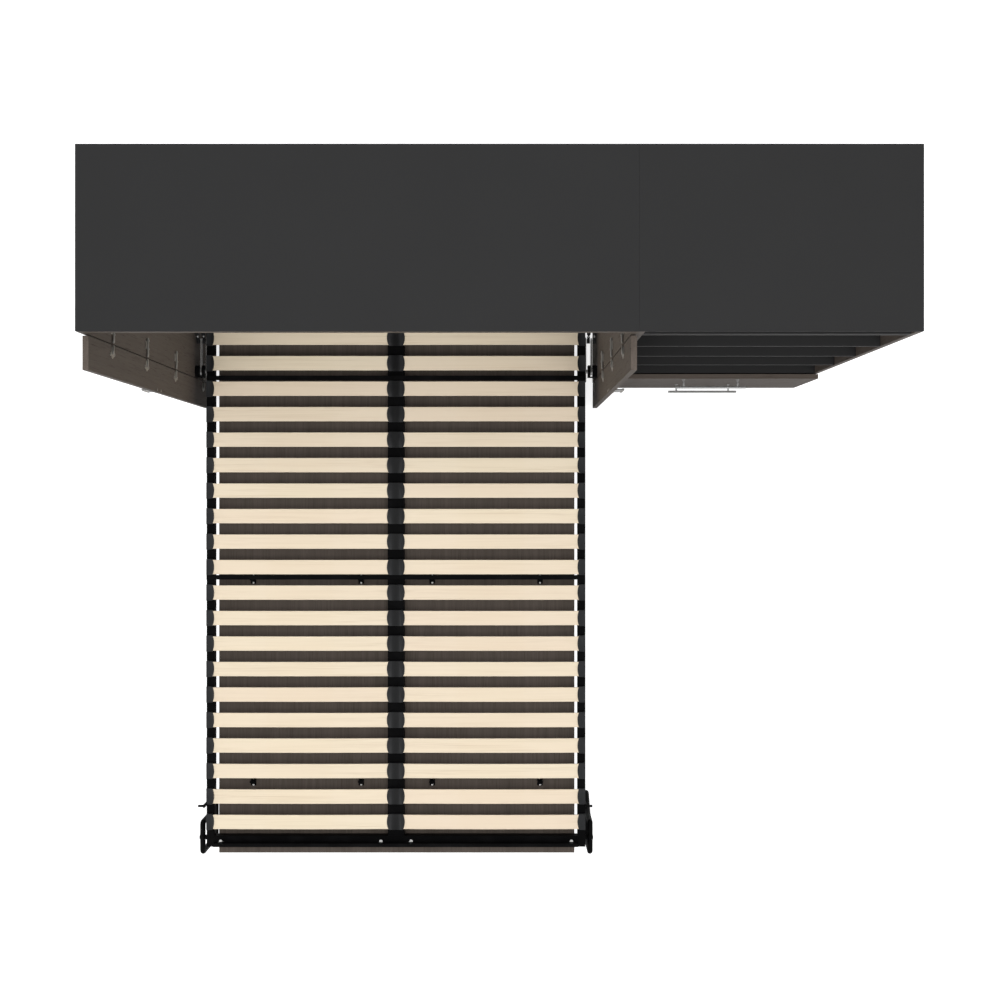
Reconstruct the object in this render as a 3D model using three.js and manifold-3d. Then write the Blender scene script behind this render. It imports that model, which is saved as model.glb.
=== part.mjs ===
// Wall bed with side storage: a cabinet whose slatted bed frame folds down on two
// gas-assisted pivots, two narrow side doors, and a shelf tower with two drawers.
// Millimetres, +Z up. Built with the wall at y = 0 and the bed's centre line at x = 0,
// then moved so that the origin is the middle of the footprint on the floor.
import * as THREE from 'three';
import { mergeVertices } from 'three/addons/utils/BufferGeometryUtils.js';
import Module from 'manifold-3d';

// ---- Overall sizes ----
const bedCabinetWidth = 1500;
const towerWidth = 756;
const cabinetDepth = 498;
const cabinetHeight = 2175;
const board = 16;
const joinGap = 0.3;

// ---- Bed frame ----
const frameWidth = 1382;
const railWidth = 28;
const railHeight = 50;
const tubeWall = 2;
const railTopHeight = 347;
const headEndBehindPivot = 254;
const footEndBeforePivot = 1736;
const pivotBehindFront = 22;
const pivotBelowRailTop = 28;
const centreRailWidth = 60;

// ---- Slats ----
const slatRows = 21;
const slatPitch = 92.8;
const slatWidth = 52;
const slatThickness = 8;
const firstSlatBehindPivot = 213;
const slatLift = 6;
const holderDepth = 27;
const centreHolderDepth = 31;
const holderMargin = 3;
const stripThickness = 2;
const crossBarWidth = 16;
const crossBarHeight = 10;

// ---- Front panel under the slats ----
const frontPanelWidth = 1306;
const frontPanelBehindPivot = 297;
const frontPanelBeforePivot = 1767;

// ---- Side doors ----
const doorWidth = 93;
const doorTop = 2087;
const doorBottom = 17;
const doorGap = 4;

// ---- Tower ----
const towerTopRailDrop = 78;
const towerTopRailHeight = 50;
const drawerTop = 563;
const drawerBottom = 24;
const drawerGap = 3;
const shelfThickness = 22;
const shelfCount = 3;
const plinthHeight = 70;

// ---- Pulls ----
const pullStand = 28;
const pullBarRadius = 4.5;
const drawerPullSpacing = 192;
const drawerPullLength = 252;
const drawerPullDrop = 46;
const doorPullSpacing = 64;
const doorPullLength = 104;
const doorPullHeight = 1052;
const doorPullFromEdge = 5.5;

// ---- Pivots, cranks and gas struts ----
const pivotRadius = 7;
const runningClearance = 0.3;
const crankRadius = 111;
const strutUpperBehindPivot = 350;
const strutUpperAbovePivot = 350;
const strutBarrelRadius = 7;
const strutBoreRadius = 5;
const strutRodRadius = 3.5;
const strutBarrelLength = 385;
const strutRodInside = 185;
const strutEyeRadius = 11;
const innerStrutOffset = 12;
const outerStrutOffset = 34;
const strutEyeWidth = 12;
const strutPinRadius = 4;
const crankOffset = 23;
const crankThickness = 6;

// ---- Folding legs ----
const legTubeRadius = 10;
const legTopWidth = 108;
const legFootWidth = 177;
const legBehind = 34.5;
const legKneeHeight = 160;
const legKneeRadius = 40;
const legHeelRadius = 28;
const legPivotFromFoot = 31;
const legCornerRadius = 14;
const legFromRail = 8;

// ---- Derived levels and planes ----
const halfCabinet = bedCabinetWidth / 2;
const front = -cabinetDepth;
const innerSide = halfCabinet - board;
const halfFrame = frameWidth / 2;
const pivotY = front + pivotBehindFront;
const pivotZ = railTopHeight - pivotBelowRailTop;
const railBottom = railTopHeight - railHeight;
const headY = pivotY + headEndBehindPivot;
const footY = pivotY - footEndBeforePivot;
const panelTop = railBottom - joinGap;
const panelBottom = panelTop - board;
const carcassTop = cabinetHeight - board - joinGap;
const towerLeft = halfCabinet + joinGap;
const towerRight = towerLeft + towerWidth;
const frontFace = front - doorGap - board;

// ---- Finishes ----
const finish = (color, roughness, metalness = 0) =>
  new THREE.MeshStandardMaterial({ color, roughness, metalness });
const graphite = finish(0x383838, 0.6);
const greyOak = finish(0x6a5f57, 0.55);
const blackSteel = finish(0x151515, 0.4, 0.6);
const blackPlastic = finish(0x1b1b1b, 0.5);
const birch = finish(0xead9bd, 0.5);
const brightSteel = finish(0xc9c9c9, 0.25, 1);

const object = new THREE.Group();

const add = (name, geometry, material, parent = object) => {
  const mesh = new THREE.Mesh(geometry, material);
  mesh.name = name;
  parent.add(mesh);
  return mesh;
};

// Pieces that meet or overlap, joined into one closed body, with a hole cut if one is given.
const wasm = await Module();
wasm.setup();
const toSolid = (geometry) => {
  const bare = geometry.clone();
  bare.deleteAttribute('normal');
  bare.deleteAttribute('uv');
  const merged = mergeVertices(bare, 1e-4);
  return new wasm.Manifold(new wasm.Mesh({
    numProp: 3,
    vertProperties: merged.attributes.position.array,
    triVerts: new Uint32Array(merged.index.array),
  }));
};
const joined = (pieces, hole = null) => {
  const sum = pieces.map(toSolid).reduce((total, solid) => total.add(solid));
  const whole = (hole ? sum.subtract(toSolid(hole)) : sum).getMesh();
  const geometry = new THREE.BufferGeometry();
  geometry.setAttribute('position', new THREE.BufferAttribute(whole.vertProperties, 3));
  geometry.setIndex(new THREE.BufferAttribute(whole.triVerts, 1));
  return geometry;
};

// A box given by its two corners.
const box = (x0, x1, y0, y1, z0, z1) => {
  const geometry = new THREE.BoxGeometry(x1 - x0, y1 - y0, z1 - z0);
  geometry.translate((x0 + x1) / 2, (y0 + y1) / 2, (z0 + z1) / 2);
  return geometry;
};

// An outline drawn with u along Y and v along Z, given a thickness along X.
const slabAlongX = (shape, x0, x1, curveSegments = 12) => {
  const geometry = new THREE.ExtrudeGeometry(shape, {
    depth: x1 - x0,
    bevelEnabled: false,
    curveSegments,
  });
  geometry.rotateX(Math.PI / 2);
  geometry.rotateZ(Math.PI / 2);
  geometry.translate(x0, 0, 0);
  return geometry;
};

// A cylinder along X, Y or Z between two stations.
const rod = (axis, radius, from, to, a, b, segments = 20) => {
  const geometry = new THREE.CylinderGeometry(radius, radius, to - from, segments);
  const middle = (from + to) / 2;
  if (axis === 'x') {
    geometry.rotateZ(Math.PI / 2);
    geometry.translate(middle, a, b);
  }
  if (axis === 'y') {
    geometry.translate(a, middle, b);
  }
  if (axis === 'z') {
    geometry.rotateX(Math.PI / 2);
    geometry.translate(a, b, middle);
  }
  return geometry;
};

const rectangle = (u0, u1, v0, v1) => {
  const shape = new THREE.Shape();
  shape.moveTo(u0, v0);
  shape.lineTo(u1, v0);
  shape.lineTo(u1, v1);
  shape.lineTo(u0, v1);
  shape.closePath();
  return shape;
};

// A rectangular tube along Y or X, open at both ends.
const tubeY = (x0, x1, y0, y1, z0, z1) => {
  const shape = rectangle(x0, x1, z0, z1);
  shape.holes.push(rectangle(x0 + tubeWall, x1 - tubeWall, z0 + tubeWall, z1 - tubeWall));
  const geometry = new THREE.ExtrudeGeometry(shape, { depth: y1 - y0, bevelEnabled: false });
  geometry.rotateX(Math.PI / 2);
  geometry.translate(0, y1, 0);
  return geometry;
};
const tubeX = (x0, x1, y0, y1, z0, z1) => {
  const geometry = tubeY(-y1, -y0, x0, x1, z0, z1);
  geometry.rotateZ(-Math.PI / 2);
  return geometry;
};

// ======== Bed cabinet ========
for (const [side, sign] of [['left', -1], ['right', 1]]) {
  const x0 = sign < 0 ? -halfCabinet : innerSide;
  add(`${side}_side_panel`, box(x0, x0 + board, front, 0, 0, carcassTop), greyOak);
}
add('bed_cabinet_top', box(-halfCabinet, halfCabinet, front, 0, cabinetHeight - board, cabinetHeight), graphite);

const insideLeft = -innerSide + joinGap;
const insideRight = innerSide - joinGap;
const headerHeight = 34;
add('header_rail', box(insideLeft, insideRight, front, front + board, carcassTop - headerHeight, carcassTop), greyOak);
const wallRails = { upper: [carcassTop - 150, carcassTop], middle: [860, 1010], lower: [60, 160] };
for (const [place, [z0, z1]] of Object.entries(wallRails)) {
  add(`${place}_wall_rail`, box(insideLeft, insideRight, -board, 0, z0, z1), greyOak);
}

// ======== Tower ========
add('tower_top', box(towerLeft, towerRight, front, 0, cabinetHeight - board, cabinetHeight), graphite);
add('tower_left_side', box(towerLeft, towerLeft + board, front, 0, 0, carcassTop), greyOak);
add('tower_right_side', box(towerRight - board, towerRight, front, 0, 0, carcassTop), greyOak);
const bayLeft = towerLeft + board + joinGap;
const bayRight = towerRight - board - joinGap;
const backBoard = 6;
const bayBack = -backBoard - joinGap;
add('tower_back', box(bayLeft, bayRight, -backBoard, 0, plinthHeight, carcassTop), graphite);
const railTop = cabinetHeight - towerTopRailDrop;
add('tower_top_rail', box(bayLeft, bayRight, front, front + board, railTop - towerTopRailHeight, railTop), graphite);

const deckTop = drawerTop + 5;
const deckBottom = deckTop - board;
const openHeight = railTop - towerTopRailHeight - deckTop;
const shelfPitch = openHeight / (shelfCount + 1);
const shelfSetBack = 1;
for (let i = 1; i <= shelfCount; i += 1) {
  const z = deckTop + i * shelfPitch;
  const shelf = box(bayLeft, bayRight, front + shelfSetBack, bayBack, z - shelfThickness / 2, z + shelfThickness / 2);
  add(`shelf_${i}`, shelf, graphite);
}
add('drawer_deck', box(bayLeft, bayRight, front, bayBack, deckBottom, deckTop), graphite);
const baseBoard = box(bayLeft, bayRight, front, bayBack, plinthHeight - board, plinthHeight - joinGap);
const plinthSetBack = 40;
const plinth = box(bayLeft, bayRight, front + plinthSetBack, front + plinthSetBack + board, 0, plinthHeight - 1);
add('tower_base', joined([baseBoard, plinth]), greyOak);

// ======== Pulls: a round bar on two posts ========
// The bar runs along `along`; `out` is the direction it stands away from the face at `foot`.
const pullPostRadius = 3.5;
const pull = (foot, spacing, length, along, out) => {
  const pieces = [new THREE.CylinderGeometry(pullBarRadius, pullBarRadius, length, 18)];
  pieces[0].rotateZ(Math.PI / 2);
  pieces[0].translate(0, pullStand, 0);
  for (const end of [-1, 1]) {
    const post = new THREE.CylinderGeometry(pullPostRadius, pullPostRadius, pullStand - joinGap, 14);
    post.translate((end * spacing) / 2, (pullStand + joinGap) / 2, 0);
    pieces.push(post);
  }
  const geometry = joined(pieces);
  geometry.applyMatrix4(new THREE.Matrix4().makeBasis(along, out, along.clone().cross(out)));
  geometry.translate(foot.x, foot.y, foot.z);
  return geometry;
};

// ======== Drawers ========
const frontsHeight = drawerTop - drawerBottom;
const frontHeight = (frontsHeight - drawerGap) / 2;
const slideGap = 13;
const boxWall = 12;
const drawerBackRoom = 58;
const boxDepth = cabinetDepth - drawerBackRoom;
const boxHeight = 150;
const boxBottomThickness = 6;
const drawerCentre = (towerLeft + towerRight) / 2;
const frontEdgeGap = 3;
const boxLift = 26;
const runnerLift = 20;
const runnerHeight = 40;
const runnerLength = boxDepth - 10;
for (const [level, low] of [['lower', drawerBottom], ['upper', drawerBottom + frontHeight + drawerGap]]) {
  const x0 = bayLeft + slideGap;
  const x1 = bayRight - slideGap;
  const y0 = front - doorGap + joinGap;
  const y1 = y0 + boxDepth;
  const z0 = Math.max(low, plinthHeight) + boxLift;
  const z1 = z0 + boxHeight;
  add(
    `${level}_drawer_front`,
    box(towerLeft + frontEdgeGap, towerRight - frontEdgeGap, frontFace, front - doorGap, low, low + frontHeight),
    greyOak,
  );
  const tray = [
    box(x0, x0 + boxWall, y0, y1, z0, z1),
    box(x1 - boxWall, x1, y0, y1, z0, z1),
    box(x0, x1, y1 - boxWall, y1, z0, z1),
    box(x0, x1, y0, y0 + boxWall, z0, z1),
    box(x0, x1, y0, y1, z0, z0 + boxBottomThickness),
  ];
  add(`${level}_drawer_box`, joined(tray), graphite);
  const grip = pull(
    new THREE.Vector3(drawerCentre, frontFace, low + frontHeight - drawerPullDrop),
    drawerPullSpacing,
    drawerPullLength,
    new THREE.Vector3(1, 0, 0),
    new THREE.Vector3(0, -1, 0),
  );
  add(`${level}_drawer_pull`, grip, brightSteel);
  const runnerBottom = z0 + runnerLift;
  const runner = (a, b) => box(a, b, front + 4, front + runnerLength, runnerBottom, runnerBottom + runnerHeight);
  add(`${level}_left_runner`, runner(bayLeft, x0 - joinGap), brightSteel);
  add(`${level}_right_runner`, runner(x1 + joinGap, bayRight), brightSteel);
}

// ======== Side doors, drawn standing open beside the side panels' front edges ========
const doorHingeEdge = front - doorGap;
const doorFreeEdge = doorHingeEdge - doorWidth;
for (const [side, sign] of [['left', -1], ['right', 1]]) {
  const outer = sign * halfCabinet;
  const inner = sign * innerSide;
  const leaf = box(Math.min(outer, inner), Math.max(outer, inner), doorFreeEdge, doorHingeEdge, doorBottom, doorTop);
  add(`${side}_door`, leaf, greyOak);
  const grip = pull(
    new THREE.Vector3(outer, doorFreeEdge + doorPullFromEdge, doorPullHeight),
    doorPullSpacing,
    doorPullLength,
    new THREE.Vector3(0, 0, 1),
    new THREE.Vector3(sign, 0, 0),
  );
  add(`${side}_door_pull`, grip, brightSteel);
}

// ======== Bed frame ========
// Leg positions are needed here because each side rail carries its leg's stud and stop.
const legPivotY = footY + legPivotFromFoot;
const legPivotZ = railTopHeight - railHeight / 2;
const legX = halfFrame + legFromRail + legTubeRadius;
const legStudRadius = 9;
const legPinRadius = 4;
const legStopRadius = 4.5;
const legStopReach = 23;
const legStopFromPivot = 126;
const legStopY = legPivotY + legStopFromPivot;
const legStopClearance = 6.4;
// Folded up, the hoop's rear bar lies under the stop.
const legStopZ = legPivotZ + legTopWidth / 2 + legTubeRadius + legStopRadius + legStopClearance;
const tabWidth = 12;
const tabThickness = 3;
const studReach = legFromRail - joinGap;
for (const [side, sign] of [['left', -1], ['right', 1]]) {
  const x0 = sign < 0 ? -halfFrame : halfFrame - railWidth;
  const face = sign * halfFrame;
  const alongX = (radius, reach, y, z, segments) => {
    const tip = face + sign * reach;
    const root = face - sign;
    return rod('x', radius, Math.min(root, tip), Math.max(root, tip), y, z, segments);
  };
  const tabRoot = face - sign;
  const tabFace = face + sign * tabThickness;
  const pieces = [
    tubeY(x0, x0 + railWidth, footY, headY, railBottom, railTopHeight),
    alongX(legStudRadius, studReach, legPivotY, legPivotZ, 20),
    alongX(legPinRadius, legFromRail + 2 * legTubeRadius + 2, legPivotY, legPivotZ, 20),
    box(
      Math.min(tabRoot, tabFace),
      Math.max(tabRoot, tabFace),
      legStopY - tabWidth / 2,
      legStopY + tabWidth / 2,
      railTopHeight - railHeight / 2,
      legStopZ + 2 * legStopRadius,
    ),
    alongX(legStopRadius, legStopReach, legStopY, legStopZ, 16),
  ];
  add(`${side}_side_rail`, joined(pieces), blackSteel);
}
const railInner = halfFrame - railWidth - joinGap;
const centreHalf = centreRailWidth / 2;
const endBar = 40;
add('foot_bar', tubeX(-railInner, railInner, footY, footY + endBar, railBottom, railTopHeight), blackSteel);
add('head_bar', tubeX(-railInner, railInner, headY - endBar, headY, railBottom, railTopHeight), blackSteel);
const centreRail = tubeY(
  -centreHalf,
  centreHalf,
  footY + endBar + joinGap,
  headY - endBar - joinGap,
  railBottom,
  railTopHeight,
);
add('centre_rail', centreRail, blackSteel);

// Slat rows run from the head end; each half row spans from a side rail to the centre rail.
// A strip of slat holders along each rail carries the slats' ends, so a bank is one piece.
const slatCentre = (row) => pivotY + firstSlatBehindPivot - row * slatPitch;
const stripBottom = railTopHeight + joinGap;
const stripTop = stripBottom + stripThickness;
const slatBottom = stripBottom + slatLift;
const slatTop = slatBottom + slatThickness;
const holderWidth = slatWidth + 2 * holderMargin;
const stripEnd = { foot: slatCentre(slatRows - 1) - holderWidth / 2, head: slatCentre(0) + holderWidth / 2 };
for (const [side, sign] of [['left', -1], ['right', 1]]) {
  const railEdge = sign * (halfFrame - 1);
  const middleEdge = sign;
  const across = (a, b) => [Math.min(a, b), Math.max(a, b)];
  const pads = [
    across(railEdge, railEdge - sign * holderDepth),
    across(middleEdge, middleEdge + sign * centreHolderDepth),
  ];
  const pieces = pads.map(([a, b]) => box(a, b, stripEnd.foot, stripEnd.head, stripBottom, stripTop));
  const [slatFrom, slatTo] = across(railEdge - sign * 3, middleEdge + sign * 3);
  for (let row = 0; row < slatRows; row += 1) {
    const y = slatCentre(row);
    pieces.push(box(slatFrom, slatTo, y - slatWidth / 2, y + slatWidth / 2, slatBottom, slatTop));
    for (const [a, b] of pads) {
      pieces.push(box(a, b, y - holderWidth / 2, y + holderWidth / 2, stripBottom, slatBottom + 1));
    }
  }
  add(`${side}_slats`, joined(pieces), birch);
}

// Cross bars lie in gaps between slat rows, over the holder strips.
const crossBarPlay = (slatPitch - holderWidth - crossBarWidth) / 2 - joinGap;
const crossBars = { front: slatCentre(2.5) - 0.75 * crossBarPlay, middle: slatCentre(10.5) + crossBarPlay };
for (const [place, y] of Object.entries(crossBars)) {
  const z = stripTop + joinGap;
  const half = crossBarWidth / 2;
  add(`${place}_cross_bar`, box(1 - halfFrame, halfFrame - 1, y - half, y + half, z, z + crossBarHeight), blackSteel);
}

// Front panel: the face of the closed bed, under the frame when it is down.
const frontPanel = box(
  -frontPanelWidth / 2,
  frontPanelWidth / 2,
  pivotY - frontPanelBeforePivot,
  pivotY + frontPanelBehindPivot,
  panelBottom,
  panelTop,
);
add('bed_front_panel', frontPanel, greyOak);

// Mattress stop: a low bar standing on the foot bar.
const stopHeight = 40;
const stop = box(
  -railInner,
  railInner,
  footY + 6,
  footY + 18,
  railTopHeight + joinGap,
  railTopHeight + stopHeight,
);
add('mattress_stop', stop, blackSteel);

// ======== Pivots ========
// Each side has a plate on the rail with the pivot shaft and its crank welded to it, and a
// clevis bracket on the side panel whose two cheeks stand each side of the crank.
const plateThickness = 3.5;
const plateAhead = 39;
const plateEdge = 2;
const crankHub = 14;
const crankEnd = 11;
const cheekHalf = 22;
const cheekDrop = 30;
const cheekRise = 12;
const cheekThickness = 8.5;
const bridgeThickness = 5;
const bridgeHeight = 12;
const wallInner = innerSide - halfFrame;
for (const [side, sign] of [['left', -1], ['right', 1]]) {
  const at = (offset) => sign * (halfFrame + offset);
  const span = (a, b) => [Math.min(at(a), at(b)), Math.max(at(a), at(b))];
  const crankInner = crankOffset - crankThickness / 2;
  const crankOuter = crankOffset + crankThickness / 2;

  const plate = box(
    ...span(joinGap, plateThickness),
    pivotY - plateAhead,
    pivotY + crankRadius + crankEnd,
    railBottom + plateEdge,
    railTopHeight - plateEdge,
  );
  const shaft = rod('x', pivotRadius, ...span(plateThickness - 1, wallInner - 4), pivotY, pivotZ, 32);
  const arm = new THREE.Shape();
  arm.absarc(0, 0, crankHub, Math.PI / 2, (3 * Math.PI) / 2, false);
  arm.absarc(crankRadius, 0, crankEnd, -Math.PI / 2, Math.PI / 2, false);
  arm.closePath();
  const crank = slabAlongX(arm, ...span(crankInner, crankOuter));
  crank.translate(0, pivotY, pivotZ);
  add(`${side}_pivot_and_crank`, joined([plate, shaft, crank]), brightSteel);

  const cheek = (a, b) => {
    const shape = new THREE.Shape();
    shape.moveTo(-cheekHalf, -cheekDrop);
    shape.lineTo(cheekHalf, -cheekDrop);
    shape.lineTo(cheekHalf, cheekRise);
    shape.absarc(0, cheekRise, cheekHalf, 0, Math.PI, false);
    shape.closePath();
    const hole = new THREE.Path();
    hole.absarc(0, 0, pivotRadius + runningClearance, 0, 2 * Math.PI, true);
    shape.holes.push(hole);
    const geometry = slabAlongX(shape, ...span(a, b), 16);
    geometry.translate(0, pivotY, pivotZ);
    return geometry;
  };
  const cheekGap = 1.5;
  const bridge = box(
    ...span(crankInner - cheekGap - 1, crankOuter + cheekGap + 1),
    pivotY - cheekHalf,
    pivotY - cheekHalf + bridgeThickness,
    pivotZ - cheekDrop,
    pivotZ - cheekDrop + bridgeHeight,
  );
  const clevis = [
    cheek(crankInner - cheekGap - cheekThickness, crankInner - cheekGap),
    cheek(crankOuter + cheekGap, wallInner - joinGap),
    bridge,
  ];
  add(`${side}_pivot_bracket`, joined(clevis), blackSteel);
}

// ======== Gas struts, two a side, one each side of the crank ========
const strutDrop = strutUpperAbovePivot;
const strutRun = strutUpperBehindPivot - crankRadius;
const strutLength = Math.hypot(strutDrop, strutRun);
const strutTilt = Math.atan2(strutRun, strutDrop);
const boreTop = -strutBarrelLength + strutRodInside + 8;
const neck = strutEyeRadius - 2;
const halfEye = strutEyeWidth / 2;
for (const [side, sign] of [['left', -1], ['right', 1]]) {
  const upperY = pivotY + strutUpperBehindPivot;
  const upperZ = pivotZ + strutUpperAbovePivot;
  const eye = () => rod('x', strutEyeRadius, -halfEye, halfEye, 0, 0, 20);
  const pinHole = rod('x', strutPinRadius + runningClearance, -halfEye - 1, halfEye + 1, 0, 0, 20);
  for (const [place, offset] of [['inner', innerStrutOffset], ['outer', outerStrutOffset]]) {
    const x = sign * (halfFrame + offset);
    const profile = [
      new THREE.Vector2(0, boreTop),
      new THREE.Vector2(strutBoreRadius, boreTop),
      new THREE.Vector2(strutBoreRadius, -strutBarrelLength),
      new THREE.Vector2(strutBarrelRadius, -strutBarrelLength),
      new THREE.Vector2(strutBarrelRadius, -neck),
      new THREE.Vector2(0, -neck),
    ];
    const sleeve = new THREE.LatheGeometry(profile, 20);
    sleeve.rotateX(Math.PI / 2);
    const barrel = joined([sleeve, eye()], pinHole);
    barrel.rotateX(-strutTilt);
    barrel.translate(x, upperY, upperZ);
    add(`${side}_${place}_strut_barrel`, barrel, blackSteel);
    const rodLength = strutLength - strutBarrelLength + strutRodInside;
    const shank = joined([rod('z', strutRodRadius, neck, rodLength, 0, 0, 16), eye()], pinHole);
    shank.rotateX(-strutTilt);
    shank.translate(x, pivotY + crankRadius, pivotZ);
    add(`${side}_${place}_strut_rod`, shank, brightSteel);
  }
  const pinEnds = [sign * (halfFrame + innerStrutOffset - halfEye - 1), sign * (innerSide - joinGap)];
  const pin = rod('x', strutPinRadius, Math.min(...pinEnds), Math.max(...pinEnds), upperY, upperZ, 20);
  add(`${side}_strut_pin`, pin, brightSteel);
}

// ======== Folding legs: a hoop of round tube hung on a stud at each foot corner ========
for (const [side, sign] of [['left', -1], ['right', 1]]) {
  const top = legPivotZ;
  const foot = legTubeRadius;
  const corners = [
    [legPivotY - legTopWidth / 2, top, legCornerRadius],
    [legPivotY + legTopWidth / 2, top, legCornerRadius],
    [legPivotY + legTopWidth / 2, legKneeHeight, legKneeRadius],
    [legPivotY + legBehind + legFootWidth / 2, foot, legHeelRadius],
    [legPivotY + legBehind - legFootWidth / 2, foot, legCornerRadius],
  ].map(([y, z, radius]) => ({ place: new THREE.Vector3(sign * legX, y, z), radius }));
  const path = new THREE.CurvePath();
  const count = corners.length;
  const turned = corners.map(({ place, radius }, i) => {
    const towards = (other) => other.place.clone().sub(place).setLength(radius).add(place);
    return { before: towards(corners[(i + count - 1) % count]), place, after: towards(corners[(i + 1) % count]) };
  });
  turned.forEach(({ before, place, after }, i) => {
    path.add(new THREE.QuadraticBezierCurve3(before, place, after));
    path.add(new THREE.LineCurve3(after, turned[(i + 1) % count].before));
  });
  const ring = [];
  for (const curve of path.curves) {
    const steps = curve.isQuadraticBezierCurve3 ? 5 : 1;
    for (let i = 0; i < steps; i += 1) {
      ring.push(curve.getPoint(i / steps));
    }
  }
  // Sweep a round section along the closed ring, which lies in one upright plane.
  const around = 14;
  const positions = [];
  const indices = [];
  const across = new THREE.Vector3(1, 0, 0);
  ring.forEach((point, i) => {
    const ahead = ring[(i + 1) % ring.length];
    const behind = ring[(i + ring.length - 1) % ring.length];
    const tangent = ahead.clone().sub(behind).normalize();
    const normal = across.clone().cross(tangent);
    for (let k = 0; k < around; k += 1) {
      const angle = (2 * Math.PI * k) / around;
      const spot = point.clone()
        .addScaledVector(across, legTubeRadius * Math.cos(angle))
        .addScaledVector(normal, legTubeRadius * Math.sin(angle));
      positions.push(spot.x, spot.y, spot.z);
    }
  });
  for (let i = 0; i < ring.length; i += 1) {
    const next = (i + 1) % ring.length;
    for (let k = 0; k < around; k += 1) {
      const turn = (k + 1) % around;
      const a = i * around + k;
      const b = i * around + turn;
      const c = next * around + turn;
      const d = next * around + k;
      indices.push(a, c, b, a, d, c);
    }
  }
  const hoop = new THREE.BufferGeometry();
  hoop.setAttribute('position', new THREE.Float32BufferAttribute(positions, 3));
  hoop.setIndex(indices);
  const holeEnds = [sign * halfFrame, sign * (halfFrame + 2 * legFromRail + 2 * legTubeRadius)];
  const pinHole = rod(
    'x',
    legPinRadius + runningClearance,
    Math.min(...holeEnds),
    Math.max(...holeEnds),
    legPivotY,
    legPivotZ,
    20,
  );
  add(`${side}_leg`, joined([hoop], pinHole), blackSteel);
}

// ---- Put the origin in the middle of the footprint, on the floor ----
const extent = new THREE.Box3().setFromObject(object);
object.position.set(-(extent.min.x + extent.max.x) / 2, -(extent.min.y + extent.max.y) / 2, 0);

export default object;
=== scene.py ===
import math
import bpy
from mathutils import Matrix, Vector


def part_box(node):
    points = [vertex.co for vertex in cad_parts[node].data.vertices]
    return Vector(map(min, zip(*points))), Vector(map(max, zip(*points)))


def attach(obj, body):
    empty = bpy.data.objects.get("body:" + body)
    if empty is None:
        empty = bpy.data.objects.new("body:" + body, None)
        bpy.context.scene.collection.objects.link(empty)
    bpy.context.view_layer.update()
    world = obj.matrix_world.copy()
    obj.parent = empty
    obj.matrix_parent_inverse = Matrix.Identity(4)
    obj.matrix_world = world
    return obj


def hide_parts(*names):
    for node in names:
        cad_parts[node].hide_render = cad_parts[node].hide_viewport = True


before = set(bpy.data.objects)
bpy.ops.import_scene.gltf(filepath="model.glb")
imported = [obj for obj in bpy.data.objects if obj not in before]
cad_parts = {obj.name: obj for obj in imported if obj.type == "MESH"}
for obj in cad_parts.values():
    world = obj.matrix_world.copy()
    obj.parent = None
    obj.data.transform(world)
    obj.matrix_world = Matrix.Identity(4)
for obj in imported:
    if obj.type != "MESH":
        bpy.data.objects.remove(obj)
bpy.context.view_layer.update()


# ======== Cabinet tops ========
# Two plain particle-board tops faced with a matte graphite laminate, one over the bed cabinet
# and one over the tower, butted together. The laminate has a fine even tooth and faint clouding.
def add_node(tree, kind, inputs=None, **settings):
    made = tree.nodes.new(kind)
    for key, value in settings.items():
        setattr(made, key, value)
    for key, value in (inputs or {}).items():
        if isinstance(value, bpy.types.NodeSocket):
            tree.links.new(value, made.inputs[key])
        else:
            made.inputs[key].default_value = value
    return made


def start_effect(name, inputs):
    tree = bpy.data.node_groups.new(name, "ShaderNodeTree")
    for label, kind in inputs.items():
        tree.interface.new_socket(label, in_out="INPUT", socket_type=kind)
    results = {"Color": "NodeSocketColor", "Roughness": "NodeSocketFloat", "Normal": "NodeSocketVector"}
    for label, kind in results.items():
        tree.interface.new_socket(label, in_out="OUTPUT", socket_type=kind)
    return tree, tree.nodes.new("NodeGroupInput"), tree.nodes.new("NodeGroupOutput")


def end_effect(tree, out, color, roughness, normal):
    tree.links.new(color, out.inputs["Color"])
    tree.links.new(roughness, out.inputs["Roughness"])
    tree.links.new(normal, out.inputs["Normal"])
    return tree


def laid_material(name, effect, values, turned=None, **surface_values):
    material = bpy.data.materials.new(name)
    material.use_nodes = True
    tree = material.node_tree
    surface = tree.nodes["Principled BSDF"]
    for key, value in surface_values.items():
        surface.inputs[key.replace("_", " ")].default_value = value
    laid = add_node(tree, "ShaderNodeGroup", node_tree=effect)
    for key, value in values.items():
        laid.inputs[key].default_value = value
    place = add_node(tree, "ShaderNodeTexCoord").outputs["Object"]
    if turned is not None:
        place = add_node(tree, "ShaderNodeMapping", {"Vector": place, "Rotation": turned}).outputs["Vector"]
    tree.links.new(place, laid.inputs["Vector"])
    tree.links.new(laid.outputs["Color"], surface.inputs["Base Color"])
    tree.links.new(laid.outputs["Roughness"], surface.inputs["Roughness"])
    tree.links.new(laid.outputs["Normal"], surface.inputs["Normal"])
    return material


def dress(names, material):
    for name in names:
        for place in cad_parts[name].material_slots:
            place.material = material


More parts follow.
